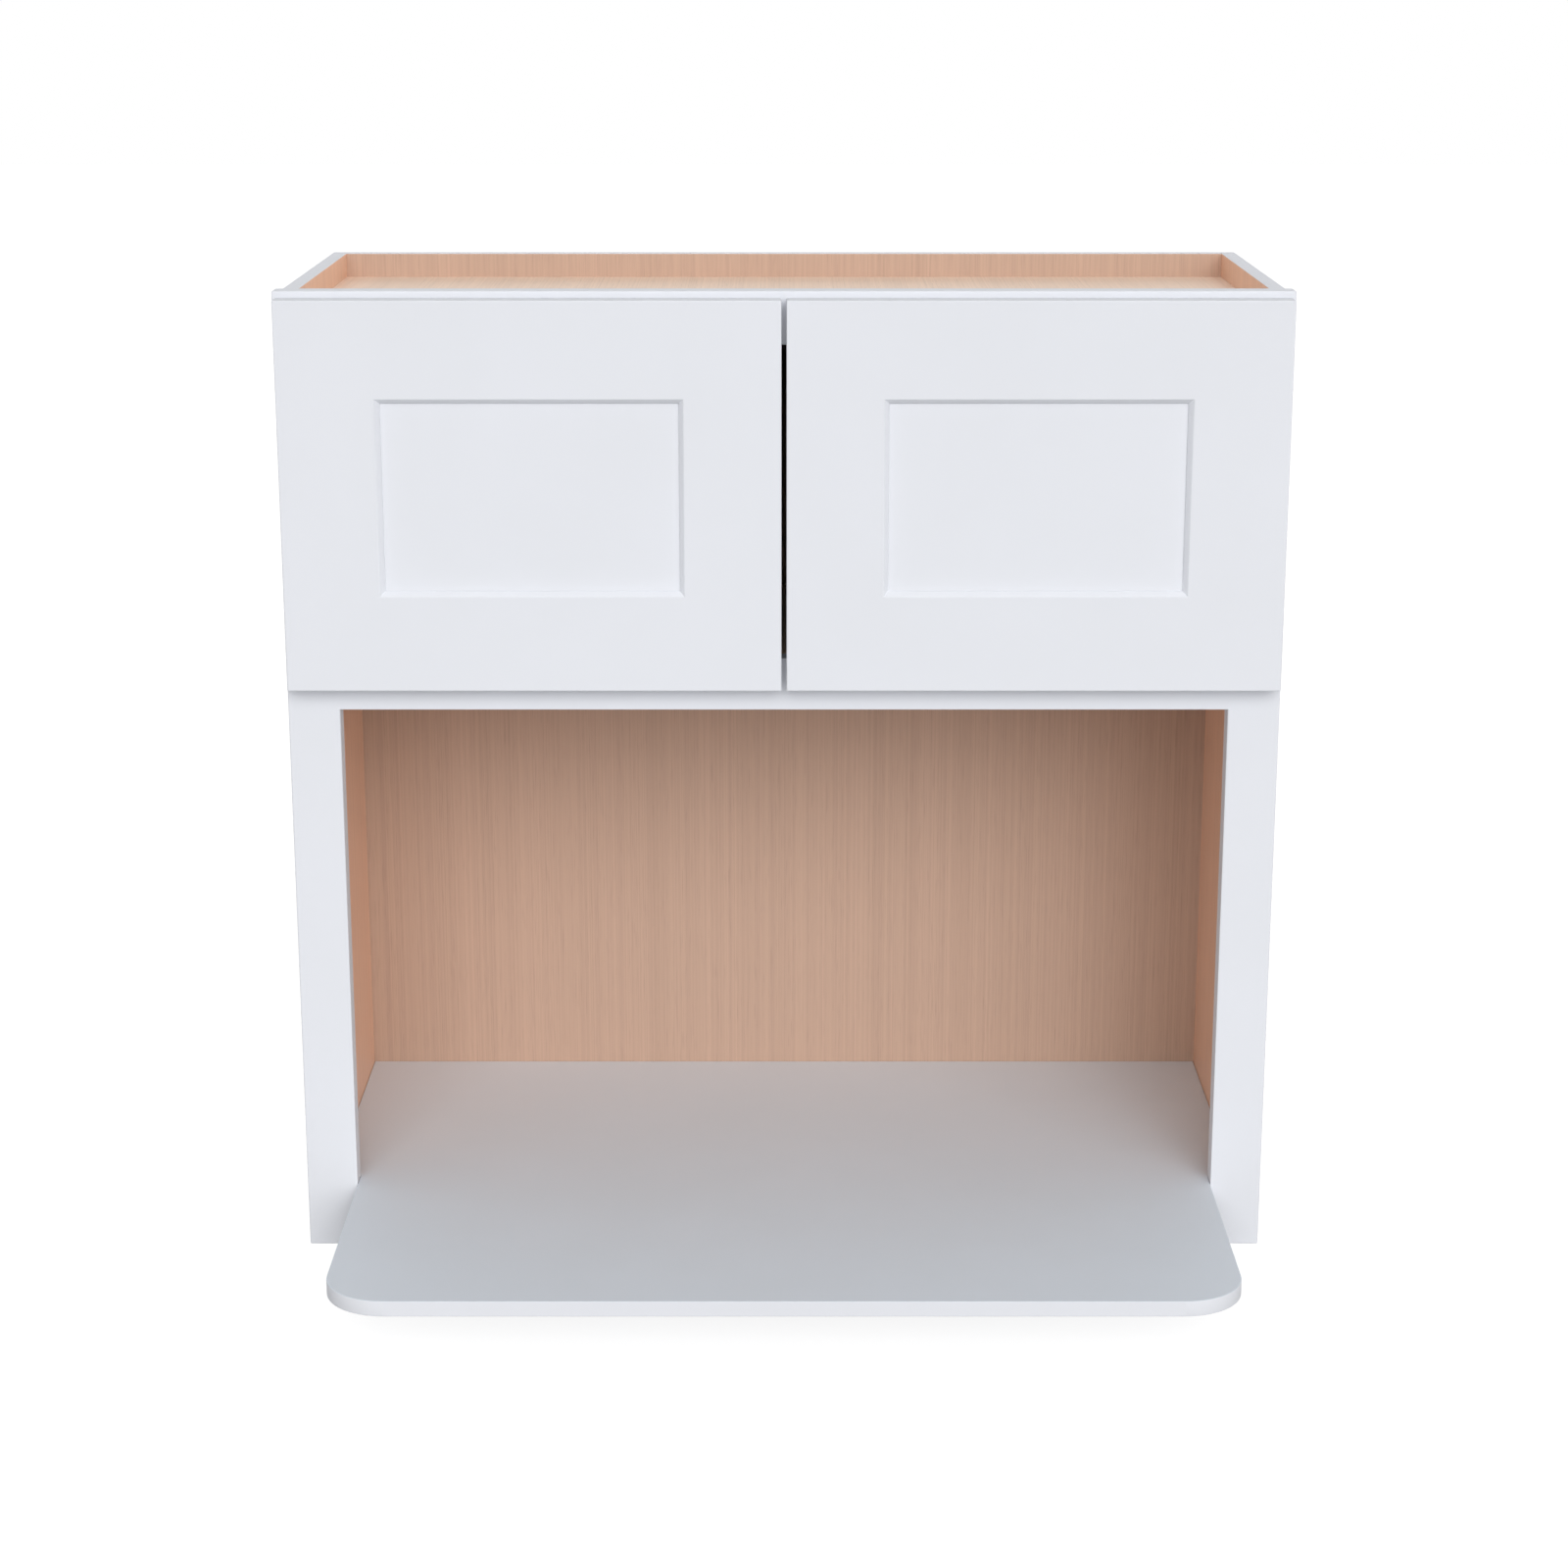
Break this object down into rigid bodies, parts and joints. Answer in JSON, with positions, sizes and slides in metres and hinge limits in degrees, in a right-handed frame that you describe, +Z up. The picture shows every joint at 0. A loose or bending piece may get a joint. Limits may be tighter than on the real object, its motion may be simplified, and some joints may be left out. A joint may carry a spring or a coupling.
{
  "type": "microwave cabinet",
  "caption": "Face-framed kitchen cabinet with recessed-panel doors over an open microwave niche and a round-cornered shelf standing out in front.",
  "frame": {"origin": "bottom centre of the rear face, which goes against the wall", "axes": "+X to the right as seen from the front, +Y to the back and out of the wall face, +Z up"},
  "size_m": [0.762, 0.5248, 0.762],
  "materials": {
    "white_paint": "satin white paint on wood",
    "maple_veneer": "clear satin coat on a light maple-type veneer",
    "nickel_steel": "nickel-plated pressed steel",
    "clear_rubber": "clear soft plastic"
  },
  "bodies": {
    "cabinet": {"back_panel": "maple_veneer", "top_panel": "maple_veneer", "compartment_floor": "maple_veneer", "bottom_panel": "maple_veneer", "frame_left_stile": "white_paint", "frame_right_stile": "white_paint", "frame_top_rail": "white_paint", "frame_middle_rail": "white_paint", "frame_bottom_rail": "white_paint", "microwave_shelf": "white_paint", "left_side_panel": "white_paint", "right_side_panel": "white_paint", "left_shelf_screw": "nickel_steel", "right_shelf_screw": "nickel_steel", "left_upper_hinge_arm": "nickel_steel", "left_upper_hinge_arm_screw": "nickel_steel", "left_upper_hinge_arm_pin": "nickel_steel", "left_lower_hinge_arm": "nickel_steel", "left_lower_hinge_arm_screw": "nickel_steel", "left_lower_hinge_arm_pin": "nickel_steel", "right_upper_hinge_arm": "nickel_steel", "right_upper_hinge_arm_screw": "nickel_steel", "right_upper_hinge_arm_pin": "nickel_steel", "right_lower_hinge_arm": "nickel_steel", "right_lower_hinge_arm_screw": "nickel_steel", "right_lower_hinge_arm_pin": "nickel_steel"},
    "left_hinge_links": {"left_upper_hinge_link": "nickel_steel", "left_lower_hinge_link": "nickel_steel"},
    "left_door": {"left_door_outer_stile": "white_paint", "left_door_inner_stile": "white_paint", "left_door_top_rail": "white_paint", "left_door_bottom_rail": "white_paint", "left_door_panel": "white_paint", "left_door_upper_bumper": "clear_rubber", "left_door_lower_bumper": "clear_rubber", "left_upper_hinge_cup": "nickel_steel", "left_upper_hinge_cup_screw_1": "nickel_steel", "left_upper_hinge_cup_screw_2": "nickel_steel", "left_upper_hinge_cup_pin": "nickel_steel", "left_lower_hinge_cup": "nickel_steel", "left_lower_hinge_cup_screw_1": "nickel_steel", "left_lower_hinge_cup_screw_2": "nickel_steel", "left_lower_hinge_cup_pin": "nickel_steel"},
    "right_hinge_links": {"right_upper_hinge_link": "nickel_steel", "right_lower_hinge_link": "nickel_steel"},
    "right_door": {"right_door_outer_stile": "white_paint", "right_door_inner_stile": "white_paint", "right_door_top_rail": "white_paint", "right_door_bottom_rail": "white_paint", "right_door_panel": "white_paint", "right_door_upper_bumper": "clear_rubber", "right_door_lower_bumper": "clear_rubber", "right_upper_hinge_cup": "nickel_steel", "right_upper_hinge_cup_screw_1": "nickel_steel", "right_upper_hinge_cup_screw_2": "nickel_steel", "right_upper_hinge_cup_pin": "nickel_steel", "right_lower_hinge_cup": "nickel_steel", "right_lower_hinge_cup_screw_1": "nickel_steel", "right_lower_hinge_cup_screw_2": "nickel_steel", "right_lower_hinge_cup_pin": "nickel_steel"}
  },
  "joints": [
    {"name": "left_link_swing", "type": "hinge", "parent": "cabinet", "child": "left_hinge_links", "pos_m": [-0.343, -0.3038, 0.6092], "axis": [0, 0, 1], "range_deg": [0, 35]},
    {"name": "right_link_swing", "type": "hinge", "parent": "cabinet", "child": "right_hinge_links", "pos_m": [0.343, -0.3038, 0.6092], "axis": [0, 0, -1], "range_deg": [0, 35]},
    {"name": "left_door_hinge", "type": "hinge", "parent": "left_hinge_links", "child": "left_door", "pos_m": [-0.369, -0.3033, 0.6092], "axis": [0, 0, -1], "range_deg": [0, 140], "stiffness_Nm_per_rad": 0.08, "springref_deg": -20.05},
    {"name": "right_door_hinge", "type": "hinge", "parent": "right_hinge_links", "child": "right_door", "pos_m": [0.369, -0.3033, 0.6092], "axis": [0, 0, 1], "range_deg": [0, 140], "stiffness_Nm_per_rad": 0.08, "springref_deg": -20.05}
  ],
  "couplings": [
    {"joint": "left_link_swing", "follows": "left_door_hinge", "ratio": 0.25},
    {"joint": "right_link_swing", "follows": "right_door_hinge", "ratio": 0.25}
  ]
}
